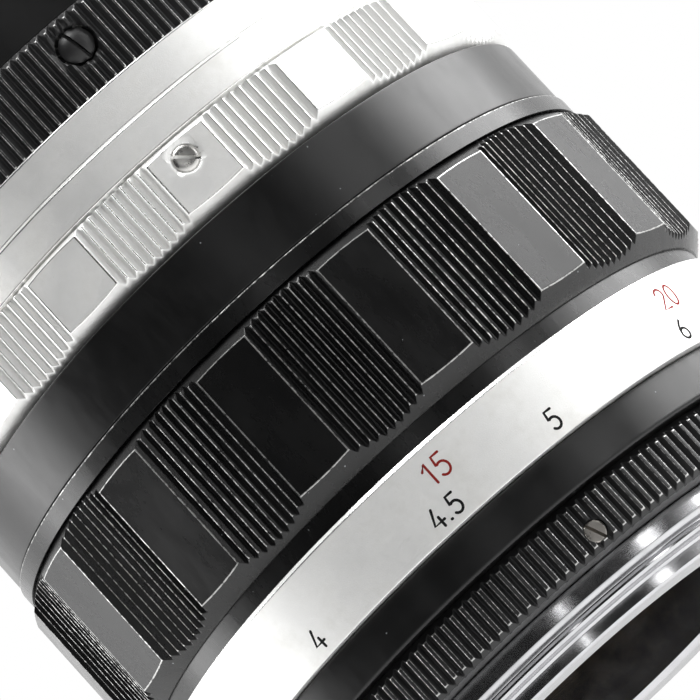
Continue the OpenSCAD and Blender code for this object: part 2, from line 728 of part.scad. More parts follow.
module front_retaining_ring() color("#26262a") difference() {
    ring(front_seat_r, front_glass_r, z_front_vertex - sag(front_front_radius, front_seat_r), z_barrel_top);
    translate([-front_glass_r - over, -driver_w / 2, z_barrel_top - driver_depth])
        cube([2 * (front_glass_r + over), driver_w, over + driver_depth]);
}

module front_ring() color("#202022")
    turned([[barrel_r + seat, z_front], [front_r - edge, z_front], [front_r, z_front + edge],
            [front_r, z_top - 2 * edge], [front_r - 2 * edge, z_top], [filter_r + edge, z_top],
            [filter_r, z_top - edge], [filter_r, z_bezel_top], [bezel_r + seat, z_bezel_top],
            [bezel_r + seat, z_barrel_top], [barrel_r + seat, z_barrel_top]]);

module bezel_ring() color("#202022") turned([
    [front_seat_r + edge, z_barrel_top + seat], [bezel_r, z_barrel_top + seat],
    [bezel_r, z_bezel_top], [front_glass_r + bezel_slope, z_bezel_top]]);

mount_ring();
adapter_ring();
adapter_grub_screws();
rear_barrel();
snap_ring();
guide_key();
guide_key_screw();
focus_ring();
distance_scale_ring();
helicoid_nut();
focus_stop_screw();
head_barrel();
helicoid_tube();
optical_barrel();
index_band();
preset_ring();
preset_ring_screws();
preset_stop_pin();
click_ball();
click_spring();
aperture_ring();
aperture_ring_screws();
iris_base_plate();
iris_spacer();
iris_cam_ring();
for (i = [1:blades]) iris_blade(i);
rear_cell();
rear_element();
rear_retaining_ring();
front_cell();
inner_element_rear();
inner_element_front();
element_spacer();
front_element();
front_retaining_ring();
front_ring();
bezel_ring();
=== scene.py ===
"""Looks of a preset prime lens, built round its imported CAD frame.

Sizes are in millimetres until a mesh is made. +Z is the optical axis towards the front, and
the lens stands on its mount at Z = 0. An azimuth of -90 degrees faces the camera.
"""
import json
import math

import bmesh
import bpy
import numpy as np
from mathutils import Matrix, Vector


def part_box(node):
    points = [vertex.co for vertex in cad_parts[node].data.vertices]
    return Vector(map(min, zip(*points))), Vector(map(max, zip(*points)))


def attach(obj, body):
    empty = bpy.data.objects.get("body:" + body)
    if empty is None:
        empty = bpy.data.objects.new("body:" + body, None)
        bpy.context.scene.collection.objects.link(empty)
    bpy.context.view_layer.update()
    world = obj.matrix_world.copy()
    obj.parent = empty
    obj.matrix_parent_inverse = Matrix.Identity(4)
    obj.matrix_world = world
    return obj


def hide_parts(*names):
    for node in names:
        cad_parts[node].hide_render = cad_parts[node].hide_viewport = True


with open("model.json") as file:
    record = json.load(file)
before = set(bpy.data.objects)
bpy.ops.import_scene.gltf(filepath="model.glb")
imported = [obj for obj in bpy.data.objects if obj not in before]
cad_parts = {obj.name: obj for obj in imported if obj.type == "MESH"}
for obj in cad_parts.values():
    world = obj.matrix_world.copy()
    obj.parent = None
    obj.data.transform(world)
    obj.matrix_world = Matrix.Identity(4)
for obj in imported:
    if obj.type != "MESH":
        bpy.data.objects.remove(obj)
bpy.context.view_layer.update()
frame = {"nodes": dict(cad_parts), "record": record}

MM = 0.001
FACING = -90.0
TURN = 360          # columns round a turned piece
FADE = 0.14         # how far the wear of an edge reaches beside it
TIP_WEAR = 0.78     # wear along the ridges of a grip, where 1 is a corner rubbed to bare metal
SHARP = 34          # degrees between faces above which an edge stays sharp
GRIP_SHARP = 24     # the same on grips and knurls, whose ridges are finer
SEAM = 0.02         # clearance drawn between pieces that touch


def extent(node):
    """Lowest Z, highest Z and largest radius of a CAD node, in millimetres."""
    low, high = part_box(node)
    radius = max(math.hypot(v.co.x, v.co.y) for v in frame["nodes"][node].data.vertices)
    return low.z / MM, high.z / MM, radius / MM


Z_SCALE, Z_NECK, SCALE_R = extent("distance_scale_ring")
_, Z_FOCUS_TOP, GRIP_R = extent("focus_ring")
Z_ADAPTER, Z_BAND, ADAPTER_R = extent("adapter_ring")
_, Z_SLEEVE_TOP, BAND_R = extent("rear_barrel")
_, Z_SPIGOT_TOP, FLANGE_R = extent("mount_ring")
Z_SKIRT, Z_HEAD_TOP, HEAD_R = extent("head_barrel")
Z_PRESET, Z_PRESET_TOP, PRESET_R = extent("preset_ring")
Z_INDEX, Z_INDEX_TOP, INDEX_R = extent("index_band")
Z_APERTURE, Z_APERTURE_TOP, APERTURE_R = extent("aperture_ring")
Z_FRONT, Z_TOP, FRONT_R = extent("front_ring")
Z_BARREL_TOP, Z_BEZEL_TOP, BEZEL_R = extent("bezel_ring")

# Details of the pieces, as the CAD has them
OPENING_R = 19.4
THREAD_R = 21.0
SPIGOT_R = 25.0
REGISTER_R = 23.4
Z_FLANGE = 1.4
SLEEVE_R = 28.5
SLEEVE_BORE_R = 27.2
Z_FLOOR = Z_BAND + 1.6
CAVITY_R = 30.3
SCALE_SEAT_R = 29.6
SCALE_REAR_R = 31.0
NECK_R = 30.7
Z_GRIP = Z_NECK + 1.8
Z_FOCUS_BAND = Z_FOCUS_TOP - 1.7
Z_NUT = Z_GRIP + 3.7
FOCUS_BAND_R = 31.6
BARREL_R = 26.2
BEARING_R = 27.2
PRESET_BAND_R = 31.4
Z_PRESET_BAND = Z_PRESET_TOP - 3.45
FILTER_R = 25.6
SCALE_BEVEL = 0.35
SCALLOP_GROOVES = 9
FOCUS_SCALLOPS = 15
FOCUS_SCALLOP_DEG = 14.2
FOCUS_CHAMFERS = (1.6, 1.3)         # rear and front
PRESET_SCALLOPS = 14
PRESET_SCALLOP_DEG = 15.0
PRESET_CHAMFERS = (1.3, 0.45)
PRESET_CREST_R = 31.85
KNURL_RIDGES = 174
ADAPTER_RIDGES_AT = -85.73
RING_SCREWS = 3

# Details of grips and knurls
RIDGE_SIDE = 0.06       # half-width of a groove's root, and run of a ridge's side
RIDGE_DROP = 0.12       # depth at which a ridge's side ends
KNURL_SIDE = 0.05
KNURL_DROP = 0.1
NICK = 0.04             # size of the broken edge at the end of a ridge
EDGE = 0.02             # least height of a chamfer


# ---------------------------------------------------------------- materials

class Finish:
    """A procedural material round one Principled shader. Its coordinates are in millimetres."""

    def __init__(self, name, **constants):
        self.material = bpy.data.materials.new(name)
        self.material.use_nodes = True
        self.nodes = self.material.node_tree.nodes
        self.links = self.material.node_tree.links
        self.shader = self.nodes["Principled BSDF"]
        for socket, value in constants.items():
            self.shader.inputs[socket.replace("_", " ")].default_value = value
        here = self.add("ShaderNodeTexCoord").outputs["Object"]
        self.place = self.vector("MULTIPLY", here, (1 / MM,) * 3)

    def add(self, kind, *inputs, **settings):
        node = self.nodes.new(kind)
        for name, value in settings.items():
            setattr(node, name, value)
        for socket, value in zip(node.inputs, inputs):
            self.put(socket, value)
        return node

    def put(self, socket, value):
        if isinstance(value, bpy.types.NodeSocket):
            self.links.new(value, socket)
        elif value is not None:
            socket.default_value = value

    def math(self, operation, *inputs, clamp=False):
        return self.add("ShaderNodeMath", *inputs, operation=operation, use_clamp=clamp).outputs[0]

    def vector(self, operation, *inputs):
        return self.add("ShaderNodeVectorMath", *inputs, operation=operation).outputs[0]

    def noise(self, scale, detail=3.0, rough=0.55, stretch=(1, 1, 1), shift=0.0):
        at = self.vector("MULTIPLY_ADD", self.place, stretch, (shift,) * 3)
        node = self.add("ShaderNodeTexNoise")
        for socket, value in (("Vector", at), ("Scale", scale), ("Detail", detail), ("Roughness", rough)):
            self.put(node.inputs[socket], value)
        return node.outputs[0]

    def band(self, value, low, high, to_low=0.0, to_high=1.0):
        """Turns smoothly from to_low to to_high as the value goes from low to high."""
        node = self.add("ShaderNodeMapRange", value, low, high, to_low, to_high)
        node.interpolation_type = "SMOOTHSTEP"
        return node.outputs[0]

    def mix(self, factor, first, second):
        node = self.add("ShaderNodeMix", data_type="RGBA")
        for k, value in ((0, factor), (6, first), (7, second)):
            self.put(node.inputs[k], value)
        return node.outputs[2]

    def blend(self, factor, first, second):
        return self.add("ShaderNodeMix", factor, None, first, second, data_type="FLOAT").outputs[0]

    def wear(self):
        return self.add("ShaderNodeAttribute", attribute_name="wear").outputs["Fac"]

    def polar(self):
        """Distance from the axis, and height."""
        xyz = self.add("ShaderNodeSeparateXYZ", self.place)
        flat = self.vector("MULTIPLY", self.place, (1, 1, 0))
        reach = self.add("ShaderNodeVectorMath", flat, operation="LENGTH").outputs["Value"]
        return reach, xyz.outputs[2]

    def bump(self, height, distance, strength=1.0, before=None):
        node = self.add("ShaderNodeBump")
        self.put(node.inputs["Height"], height)
        self.put(node.inputs["Distance"], distance * MM)
        self.put(node.inputs["Strength"], strength)
        if before is not None:
            self.put(node.inputs["Normal"], before)
        return node.outputs[0]

    def set(self, **values):
        for socket, value in values.items():
            self.put(self.shader.inputs[socket.replace("_", " ")], value)
        return self.material


def dust(finish, amount=0.006):
    """Mask of a few small pale specks."""
    cell = finish.add("ShaderNodeTexVoronoi", finish.place)
    cell.inputs["Scale"].default_value = 0.55
    near = finish.math("LESS_THAN", cell.outputs["Distance"], 0.045)
    chosen = finish.math("GREATER_THAN", finish.noise(0.9, 0.0, shift=11.0), 1 - amount - 0.42)
    return finish.math("MULTIPLY", near, chosen)


def black_paint(name, roughness, base, worn=0.55, chips=2.2, tint=(1, 1, 1.03), grain=0.0011):
    """Black anodised metal whose edges are rubbed through to bare metal."""
    f = Finish(name, Specular_IOR_Level=0.5)
    rub = f.noise(chips, 4.0, 0.65)
    fine = f.noise(9.0, 2.0, 0.5, shift=4.0)
    level = f.math("ADD", f.math("MULTIPLY", rub, 1.1), f.math("MULTIPLY", fine, 0.35))
    bare = f.band(f.math("MULTIPLY", f.wear(), level), worn, worn + 0.3)
    clouds = f.noise(0.12, 4.0, 0.6, shift=2.0)
    dark = tuple(c * base for c in tint) + (1,)
    light = tuple(c * base * 1.9 for c in tint) + (1,)
    body = f.mix(f.band(clouds, 0.35, 0.75), dark, light)
    body = f.mix(dust(f), body, (0.22, 0.23, 0.24, 1))
    smear = f.noise(0.35, 5.0, 0.7, stretch=(1, 1, 0.35), shift=8.0)
    rough = f.band(smear, 0.3, 0.75, roughness * 0.86, roughness * 1.18)
    bump = f.bump(f.noise(22.0, 2.0, 0.6), grain * 4)
    return f.set(
        Base_Color=f.mix(bare, body, (0.55, 0.55, 0.54, 1)),
        Metallic=bare,
        Roughness=f.blend(bare, rough, 0.34),
        Normal=bump,
    )


def silver_satin(name, base=0.72, roughness=0.5, grain=0.014):
    """Blasted satin silver with fine pits, faint stains and a few dark nicks."""
    f = Finish(name, Metallic=1.0)
    edge = f.band(f.wear(), 0.45, 0.9)
    clouds = f.noise(0.25, 5.0, 0.6)
    pale = (base, base, base * 0.985, 1)
    stain = (base * 0.86, base * 0.855, base * 0.83, 1)
    body = f.mix(f.band(clouds, 0.4, 0.8), pale, stain)
    speck = f.noise(7.0, 3.0, 0.7, shift=5.0)
    body = f.mix(f.band(speck, 0.70, 0.80, 0.0, 0.55), body, (0.18, 0.17, 0.16, 1))
    grains = f.noise(9.0, 3.0, 0.7)
    bump = f.bump(grains, grain)
    return f.set(
        Base_Color=f.mix(edge, body, (0.9, 0.9, 0.89, 1)),
        Roughness=f.blend(edge, f.band(clouds, 0.3, 0.8, roughness, roughness * 1.2), 0.18),
        Normal=bump,
    )


def turned_metal(name, colour, roughness, lines=0.0016, per_mm=16.0):
    """Polished or turned metal with faint lathe marks round its axis."""
    f = Finish(name, Metallic=1.0)
    reach, height = f.polar()
    rings = f.add("ShaderNodeCombineXYZ", reach, height, 0.0).outputs[0]
    marks = f.add("ShaderNodeTexNoise")
    for socket, value in (("Vector", rings), ("Scale", per_mm), ("Detail", 2.0)):
        f.put(marks.inputs[socket], value)
    haze = f.noise(0.5, 4.0, 0.6)
    return f.set(
        Base_Color=f.mix(f.band(haze, 0.35, 0.8), colour + (1,), tuple(c * 0.86 for c in colour) + (1,)),
        Roughness=f.band(haze, 0.3, 0.8, roughness, roughness * 1.7),
        Normal=f.bump(marks.outputs[0], lines),
    )


def matt_black(name):
    f = Finish(name, Roughness=0.72)
    clouds = f.noise(0.4, 4.0)
    return f.set(
        Base_Color=f.mix(clouds, (0.008, 0.008, 0.009, 1), (0.02, 0.02, 0.021, 1)),
        Normal=f.bump(f.noise(14.0, 3.0), 0.012),
    )


def coated_glass(name):
    f = Finish(name, Roughness=0.03, IOR=1.6, Transmission_Weight=1.0, Coat_Weight=0.35, Coat_Roughness=0.03)
    tint = f.band(f.noise(0.05, 1.0), 0.3, 0.7)
    return f.set(Base_Color=f.mix(tint, (0.93, 0.90, 1.0, 1), (0.98, 0.95, 0.88, 1)))


def blade_steel(name):
    f = Finish(name, Metallic=1.0)
    streak = f.noise(1.2, 4.0, 0.6, stretch=(1, 0.2, 1))
    return f.set(
        Base_Color=f.mix(streak, (0.05, 0.05, 0.06, 1), (0.11, 0.11, 0.125, 1)),
        Roughness=f.band(streak, 0.3, 0.7, 0.3, 0.45),
    )


def filled_paint(name, colour):
    """Paint rubbed into an engraved figure, slightly uneven."""
    f = Finish(name, Roughness=0.7, Specular_IOR_Level=0.15)
    worn = f.band(f.noise(3.5, 3.0, 0.7), 0.6, 0.9)
    pale = tuple(min(1.0, c * 1.6 + 0.03) for c in colour) + (1,)
    return f.set(Base_Color=f.mix(worn, colour + (1,), pale))


FINISHES = {
    "satin_black": black_paint("satin_black", 0.32, 0.003, worn=0.50),
    "gloss_black": black_paint("gloss_black", 0.28, 0.003, worn=0.42),
    "knurled_black": black_paint("knurled_black", 0.38, 0.012, worn=0.38, chips=3.0),
    "satin_silver": silver_satin("satin_silver", base=0.92),
    "polished_metal": turned_metal("polished_metal", (0.60, 0.60, 0.615), 0.13),
    "bare_steel": turned_metal("bare_steel", (0.58, 0.55, 0.51), 0.24, lines=0.006, per_mm=9.0),
    "brass": turned_metal("brass", (0.72, 0.52, 0.25), 0.25, lines=0.004),
    "matt_black": matt_black("matt_black"),
    "coated_glass": coated_glass("coated_glass"),
    "blade_steel": blade_steel("blade_steel"),
}
SCREW_STEEL = turned_metal("screw_steel", (0.80, 0.79, 0.76), 0.24, lines=0.003)
RED_FILL = filled_paint("red_fill", (0.22, 0.012, 0.009))
BLACK_FILL = filled_paint("black_fill", (0.006, 0.006, 0.006))
WHITE_FILL = filled_paint("white_fill", (0.7, 0.7, 0.68))


# ---------------------------------------------------------------- meshes

def rounded(corners, steps=4):
    """Closed loop of (radius, height, wear) points from (radius, height[, round, wear]) corners."""
    points = []
    for k, corner in enumerate(corners):
        here = np.array(corner[:2], float)
        size = corner[2] if len(corner) > 2 else 0.0
        worn = corner[3] if len(corner) > 3 else 1.0
        if not size:
            points.append((*here, 0.0))
            continue
        back = np.array(corners[k - 1][:2]) - here
        on = np.array(corners[(k + 1) % len(corners)][:2]) - here
        back_length, on_length = np.linalg.norm(back), np.linalg.norm(on)
        back, on = back / back_length, on / on_length
        half = math.acos(max(-1.0, min(1.0, float(back @ on)))) / 2
        cut = size / math.tan(half)
        centre = here + (back + on) / np.linalg.norm(back + on) * size / math.sin(half)
        start, end = here + back * cut - centre, here + on * cut - centre
        sweep = math.pi - 2 * half
        points.append((*(here + back * min(cut + FADE, 0.49 * back_length)), 0.0))
        for s in range(steps + 1):
            t = s / steps
            arm = (math.sin((1 - t) * sweep) * start + math.sin(t * sweep) * end) / math.sin(sweep)
            points.append((*(centre + arm), worn))
        points.append((*(here + on * min(cut + FADE, 0.49 * on_length)), 0.0))
    return points


def loops_mesh(name, azimuths, loops, sharp=SHARP):
    """Closed surface through one loop of (radius, height, wear) points at each azimuth."""
    loops = np.array(loops, float)
    r, z = loops[0, :, 0], loops[0, :, 1]
    if np.sum(r * np.roll(z, -1) - np.roll(r, -1) * z) < 0:
        loops = loops[:, ::-1]
    count, size = loops.shape[:2]
    a = np.radians(np.array(azimuths))[:, None]
    points = np.stack([loops[..., 0] * np.cos(a), loops[..., 0] * np.sin(a), loops[..., 1]], -1)
    i, j = np.meshgrid(np.arange(count), np.arange(size), indexing="ij")
    up, on = (i + 1) % count, (j + 1) % size
    quads = np.stack([i * size + j, up * size + j, up * size + on, i * size + on], -1)
    mesh = bpy.data.meshes.new(name)
    mesh.from_pydata((points.reshape(-1, 3) * MM).tolist(), [], quads.reshape(-1, 4).tolist())
    mesh.attributes.new("wear", "FLOAT", "POINT").data.foreach_set("value", loops[..., 2].ravel())
    return finished(name, mesh, sharp)


def smoothed(piece, sharp=SHARP):
    """Shades a piece smooth except at its sharp edges."""
    piece.data.shade_smooth()
    piece.data.set_sharp_from_angle(angle=math.radians(sharp))
    piece.modifiers.new("normals", "WEIGHTED_NORMAL").keep_sharp = True
    return piece


def finished(name, mesh, sharp=SHARP):
    """A shaded object in the scene from a mesh."""
    piece = bpy.data.objects.new(name, mesh)
    bpy.context.scene.collection.objects.link(piece)
    return smoothed(piece, sharp)


def turned(name, corners, columns=TURN):
    """A solid of revolution from the corners of its outline."""
    azimuths = [360 * k / columns for k in range(columns)]
    piece = loops_mesh(name, azimuths, [rounded(corners)] * columns)
    if any(corner[0] == 0 for corner in corners):
        weld(piece)
    return piece


def weld(piece):
    """Makes one vertex of the points that meet on the axis."""
    mesh = bmesh.new()
    mesh.from_mesh(piece.data)
    bmesh.ops.remove_doubles(mesh, verts=mesh.verts, dist=1e-4 * MM)
    mesh.to_mesh(piece.data)
    mesh.free()


def place(piece, body, slot, *nodes, finish=None):
    """Gives a piece its finish, body and slot, and hides the CAD nodes that it replaces."""
    piece.data.materials.clear()
    piece.data.materials.append(finish or FINISHES[slot])
    # Faces marked with a second material index, the screw slots, take matt black: painted shade in the
    # slots.
    if any(face.material_index for face in piece.data.polygons):
        piece.data.materials.append(FINISHES["matt_black"])
    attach(piece, body)
    if nodes:
        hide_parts(*nodes)
    return piece


def cut(piece, cutters):
    """Cuts other meshes out of a piece and removes them."""
    piece.modifiers.clear()
    for cutter in cutters:
        step = piece.modifiers.new("cut", "BOOLEAN")
        step.operation, step.solver, step.object = "DIFFERENCE", "EXACT", cutter
    graph = bpy.context.evaluated_depsgraph_get()
    mesh = bpy.data.meshes.new_from_object(piece.evaluated_get(graph))
    piece.modifiers.clear()
    piece.data = mesh
    for cutter in cutters:
        bpy.data.objects.remove(cutter)
    return smoothed(piece)


def spoke_matrix(azimuth, height, tilt=0.0):
    """Turns a part built along +Z at the origin to point away from the lens's axis."""
    out = Matrix.Rotation(math.radians(azimuth), 4, "Z") @ Matrix.Translation((0, 0, height * MM))
    return out @ Matrix.Rotation(math.radians(90), 4, "Y") @ Matrix.Rotation(math.radians(tilt), 4, "Z")


def peg(name, corners, azimuth, height, columns=48):
    """Turned part on a radial axis; its corners are (radius, distance from the lens's axis)."""
    piece = turned(name, corners, columns)
    piece.data.transform(spoke_matrix(azimuth, height))
    return piece


def screw(name, corners, azimuth, height, head_r, top, slot_w, slot_depth, tilt):
    """Slotted screw on a radial axis, whose slot is painted shade: the slot's faces take a second, matt
    black material.
    """
    piece = turned(name, corners, 64)
    saw = bmesh.new()
    bmesh.ops.create_cube(saw, size=1.0)
    size = (2.6 * head_r, slot_w, 2 * slot_depth)
    bmesh.ops.transform(saw, verts=saw.verts, matrix=Matrix.Diagonal((*[s * MM for s in size], 1)))
    bmesh.ops.translate(saw, verts=saw.verts, vec=(0, 0, top * MM))
    mesh = bpy.data.meshes.new("saw")
    saw.to_mesh(mesh)
    saw.free()
    cutter = bpy.data.objects.new("saw", mesh)
    bpy.context.scene.collection.objects.link(cutter)
    cut(piece, [cutter])
    # Painted shade: faces inside the slot get material index 1, matt black, so the slot reads as a dark,
    # shaded recess.
    for face in piece.data.polygons:
        in_slot = abs(face.center.y) < (slot_w / 2 + 0.005) * MM
        if in_slot and face.center.z > (top - slot_depth - 0.01) * MM:
            face.material_index = 1
    piece.data.transform(spoke_matrix(azimuth, height, tilt))
    return piece


def joined(name, parts):
    """One piece from several."""
    mesh = bmesh.new()
    for part in parts:
        mesh.from_mesh(part.data)
        bpy.data.objects.remove(part)
    out = bpy.data.meshes.new(name)
    mesh.to_mesh(out)
    mesh.free()
    return finished(name, out)


# ---------------------------------------------------------------- grips and knurls

def grip_columns(count, width, crest, scoop, grooves, depth, phase, tip):
    """(azimuth, radius, wear, rim) round a ring of flat lands and ridged hollows.

    wear marks the ridge tips and the lands' corners, and rim is 0 only in the grooves.
    """
    columns = []
    pitch = 360 / count
    half_land = (pitch - width) / 2
    for p in range(count):
        centre = phase + pitch * p
        for j in range(2 * grooves + 1):
            t = j / grooves - 1
            base = crest - scoop * (1 - t * t)
            azimuth = centre + t * width / 2
            per_mm = math.degrees(1 / base)
            if j % 2:
                root = RIDGE_SIDE * per_mm
                columns += [(azimuth - root, base - depth, 0, 0), (azimuth + root, base - depth, 0, 0)]
                continue
            side = RIDGE_SIDE * per_mm
            shoulder = base - 0.015
            ridge = [(azimuth - tip / 2 * per_mm - side, base - RIDGE_DROP, 0, 0.3),
                     (azimuth - tip / 2 * per_mm, shoulder, TIP_WEAR, 1), (azimuth, base, TIP_WEAR, 1),
                     (azimuth + tip / 2 * per_mm, shoulder, TIP_WEAR, 1),
                     (azimuth + tip / 2 * per_mm + side, base - RIDGE_DROP, 0, 0.3)]
            if j == 0:
                ridge = ridge[2:]
            elif j == 2 * grooves:
                ridge = ridge[:3]
            columns += ridge
        middle = centre + pitch / 2
        flat = crest * math.cos(math.radians(half_land))
        inset = math.degrees(FADE / crest)
        spans = [-half_land + inset / 3, -half_land + inset, -half_land / 2, 0, half_land / 2,
                 half_land - inset, half_land - inset / 3]
        for k, off in enumerate(spans):
            worn = 1 if k in (0, len(spans) - 1) else 0
            columns.append((middle + off, flat / math.cos(math.radians(off)), worn, 1))
    return columns


def knurl_columns(count, crest, depth, tip, phase=0.0):
    """(azimuth, radius, wear, rim) round a ring of flat-topped ridges, worn on both their edges."""
    columns = []
    per_mm = math.degrees(1 / crest)
    half, side = tip / 2 * per_mm, KNURL_SIDE * per_mm
    flat_wear, root_half = 0.2, 0.07
    for p in range(count):
        azimuth = phase + 360 * p / count
        root = 180 / count - root_half * per_mm
        columns += [
            (azimuth - root, crest - depth, 0, 0), (azimuth - half - side, crest - KNURL_DROP, 0, 0.3),
            (azimuth - half, crest, TIP_WEAR, 1), (azimuth - half / 3, crest, flat_wear, 1),
            (azimuth + half / 3, crest, flat_wear, 1), (azimuth + half, crest, TIP_WEAR, 1),
            (azimuth + half + side, crest - KNURL_DROP, 0, 0.3), (azimuth + root, crest - depth, 0, 0)]
    return columns


def grip_rows(radius, wear, rim, bottom, top, crest, rear, front):
    """Rows of (radius, height, wear) up the outside of a grip, between its two chamfers."""
    drop = crest - radius
    shortest, least_flat = 0.6, 0.3
    low = min(bottom + rear - drop, top - shortest)
    high = min(max(top - front + drop, low + least_flat), top - EDGE)
    low = max(low, bottom + EDGE)
    rise = high - low
    rows = [(crest - rear, bottom, 0), (radius - NICK * 3, low - NICK * 3, 0),
            (radius - NICK / 2, low - NICK / 2, rim), (radius, low + NICK, rim)]
    inside = [low + FADE, low + rise * 0.3, low + rise * 0.5, low + rise * 0.7, high - FADE]
    rows += [(radius, z, wear) for z in inside]
    rows += [(radius, high - NICK, rim), (radius - NICK / 2, high + NICK / 2, rim),
             (radius - NICK * 2, min(high + NICK * 2, top - EDGE / 2), 0),
             (min(crest - front, radius), top, 0)]
    return rows


def grip_piece(name, columns, bottom, top, crest, chamfers, below, above):
    """A grip whose outside changes round the ring, closed by the loops below and above it."""
    loops = []
    for _, radius, wear, rim in columns:
        rows = grip_rows(radius, wear, rim, bottom, top, crest, *chamfers)
        loops.append([*below, *rows, *above])
    return loops_mesh(name, [c[0] for c in columns], loops, sharp=GRIP_SHARP)


def spread(count, first):
    """Azimuths spaced evenly round a ring."""
    return [first + 360 // count * k for k in range(count)]


def focus_ring():
    """The broad black focus grip, with its neck, band and nut."""
    crest, phase = GRIP_R, FACING + 3.4
    scoop, groove, tip = 0.72, 0.42, 0.09
    columns = grip_columns(FOCUS_SCALLOPS, FOCUS_SCALLOP_DEG, crest, scoop, SCALLOP_GROOVES, groove,
                           phase, tip)
    below = rounded([(SLEEVE_R + 0.05, Z_SCALE), (SCALE_SEAT_R, Z_SCALE), (SCALE_SEAT_R, Z_NECK),
                     (NECK_R, Z_NECK + 0.02, 0.08, 0.3), (NECK_R, Z_GRIP - 0.02)])
    above = rounded([(FOCUS_BAND_R - 0.02, Z_FOCUS_BAND), (FOCUS_BAND_R, Z_FOCUS_BAND + 0.02),
                     (FOCUS_BAND_R, Z_FOCUS_TOP, 0.12, 0.75), (CAVITY_R, Z_FOCUS_TOP),
                     (CAVITY_R, Z_NUT), (SLEEVE_R + 0.05, Z_NUT)])
    piece = grip_piece("focus_ring_grip", columns, Z_GRIP, Z_FOCUS_BAND, crest, FOCUS_CHAMFERS,
                       below, above)
    place(piece, "focus", "gloss_black", "focus_ring")


def preset_ring():
    """The silver preset ring with its two countersunk screws."""
    crest, screw_at = PRESET_CREST_R, FACING + 7.8
    phase = screw_at + 180 / PRESET_SCALLOPS
    scoop, groove, tip = 0.5, 0.38, 0.12
    columns = grip_columns(PRESET_SCALLOPS, PRESET_SCALLOP_DEG, crest, scoop, SCALLOP_GROOVES, groove,
                           phase, tip)
    below = rounded([(BEARING_R + 0.05, Z_PRESET), (29.6, Z_PRESET)])
    above = rounded([(PRESET_BAND_R - 0.45, Z_PRESET_BAND), (PRESET_BAND_R - 0.45, Z_PRESET_BAND + 0.1),
                     (PRESET_BAND_R, Z_PRESET_BAND + 0.3, 0.08), (PRESET_BAND_R, Z_PRESET_TOP, 0.16),
                     (BEARING_R + 0.05, Z_PRESET_TOP)])
    piece = grip_piece("preset_ring_grip", columns, Z_PRESET, Z_PRESET_BAND, crest, PRESET_CHAMFERS,
                       below, above)
    height, land = Z_PRESET + 5.2, crest - 0.14
    sink_r, sink_floor, above_land = 1.62, land - 0.42, land + 2
    sink = [(0, sink_floor), (1.22, sink_floor), (sink_r, land + SEAM), (sink_r, above_land),
            (0, above_land)]
    cut(piece, [peg("sink", sink, screw_at + turn, height) for turn in (0, 180)])
    place(piece, "preset", "satin_silver", "preset_ring")
    top = land - 0.12
    head_r, seat, shank_r = 1.2, top - 0.34, 1.0
    head = [(head_r, top - 0.2, 0.05), (1.05, top - 0.09), (0.8, top - 0.04), (0.45, top - 0.01), (0, top)]
    outline = [(0, land - 2), (shank_r, land - 2), (shank_r, seat), (head_r, seat), *head]
    screws = [screw("screw", outline, screw_at + turn, height, head_r, top, 0.3, 0.75, 48)
              for turn in (0, 180)]
    place(joined("preset_ring_slotted_screws", screws), "preset", "polished_metal", "preset_ring_screws",
          finish=SCREW_STEEL)


def aperture_ring():
    """The black knurled aperture ring with its three domed screws."""
    crest = APERTURE_R
    columns = knurl_columns(KNURL_RIDGES, crest, 0.45, 0.18)
    below = [(BARREL_R + 0.05, Z_APERTURE, 0)]
    above = [(BARREL_R + 0.05, Z_APERTURE_TOP, 0)]
    piece = grip_piece("aperture_ring_knurl", columns, Z_APERTURE, Z_APERTURE_TOP, crest, (0.5, 0.5),
                       below, above)
    height, azimuths = Z_APERTURE + 4.7, spread(RING_SCREWS, FACING + 7.9)
    cut(piece, [peg("bore", [(0, crest - 1), (1.85, crest - 1), (1.85, crest + 1), (0, crest + 1)],
                    azimuth, height) for azimuth in azimuths])
    place(piece, "aperture", "knurled_black", "aperture_ring")
    top = crest - 0.02
    head_r, seat, shank_r = 1.55, crest - 0.98, 0.9
    dome = [(head_r, top - 0.5, 0.06, 0.4), (1.25, top - 0.28), (0.85, top - 0.11), (0.45, top - 0.03),
            (0, top)]
    outline = [(0, crest - 3), (shank_r, crest - 3), (shank_r, seat), (head_r, seat), *dome]
    screws = [screw("screw", outline, azimuth, height, head_r, top, 0.32, 0.8, 11) for azimuth in azimuths]
    place(joined("aperture_ring_slotted_screws", screws), "aperture", "knurled_black",
          "aperture_ring_screws")


def adapter_ring():
    """The black knurled mount adapter with its three grub screws."""
    crest = ADAPTER_R
    columns = knurl_columns(KNURL_RIDGES, crest, 0.42, 0.36, ADAPTER_RIDGES_AT)
    below = [(SPIGOT_R + 0.02, Z_SPIGOT_TOP, 0), (SPIGOT_R + 0.02, Z_ADAPTER, 0)]
    above = [(THREAD_R, Z_BAND, 0), (THREAD_R, Z_SPIGOT_TOP, 0)]
    piece = grip_piece("adapter_ring_knurl", columns, Z_ADAPTER, Z_BAND, crest, (0.5, 0.8), below, above)
    height, azimuths = Z_ADAPTER + 1.6, spread(RING_SCREWS, FACING + 16.5)
    cut(piece, [peg("bore", [(0, SPIGOT_R - 1), (1.04, SPIGOT_R - 1), (1.04, crest + 1), (0, crest + 1)],
                    azimuth, height) for azimuth in azimuths])
    place(piece, "mount", "knurled_black", "adapter_ring")
    top = crest - 0.3
    screws = [screw("screw", [(0, SPIGOT_R + 0.2), (1.0, SPIGOT_R + 0.2), (1.0, top, 0.12), (0, top)],
                    azimuth, height, 1.0, top, 0.28, 0.9, 23) for azimuth in azimuths]
    place(joined("adapter_grub_screws_slotted", screws), "mount", "bare_steel", "adapter_grub_screws")


# ---------------------------------------------------------------- turned rings

